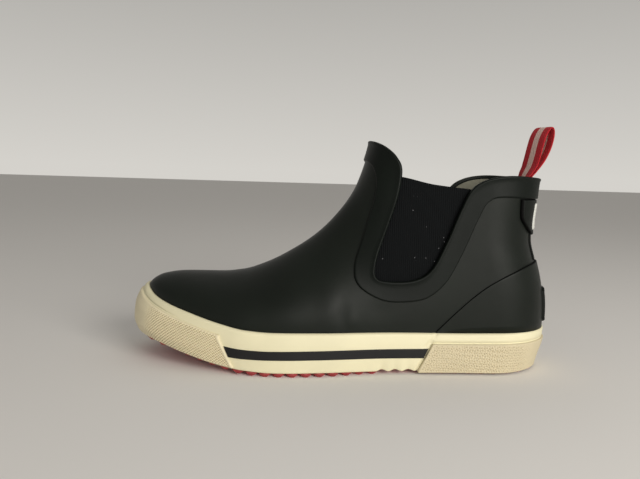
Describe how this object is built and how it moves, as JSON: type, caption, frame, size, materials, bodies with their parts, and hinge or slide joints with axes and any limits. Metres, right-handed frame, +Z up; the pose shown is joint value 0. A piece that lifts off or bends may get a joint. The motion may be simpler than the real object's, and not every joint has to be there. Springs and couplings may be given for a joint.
{
  "type": "rubber ankle boot",
  "caption": "Slip-on rubber ankle boot for the left foot, with elastic side panels, a raised collar band, a heel pull loop and a thick sole wall with a toe bumper over a lugged tread.",
  "frame": {"origin": "on the floor, under the middle of the boot's box", "axes": "+X from the toe to the heel, +Y to the inner side of the foot, +Z up"},
  "size_m": [0.2746, 0.0988, 0.1572],
  "materials": {
    "outsole": "matte red moulded rubber",
    "foxing": "matte cream rubber",
    "bumper": "cream rubber, finely knurled",
    "heel_foxing": "cream rubber, fine pebble grain",
    "stripe": "matte black rubber",
    "insole": "pale grey textile",
    "upper": "matte black dipped rubber",
    "gore": "ribbed black elastic",
    "trim": "matte black rubber",
    "label": "plain pale rubber",
    "loop": "red webbing with a pale middle stripe"
  },
  "bodies": {
    "root": {"outsole": "outsole", "foxing": "foxing", "toe_bumper": "bumper", "heel_foxing": "heel_foxing", "stripe_lateral": "stripe", "stripe_medial": "stripe", "insole": "insole", "upper": "upper", "gore_lateral": "gore", "gore_medial": "gore", "collar_trim": "trim", "counter": "trim", "back_strip": "trim", "back_patch": "trim", "back_label": "label", "heel_kick": "trim", "pull_loop": "loop"}
  },
  "joints": []
}
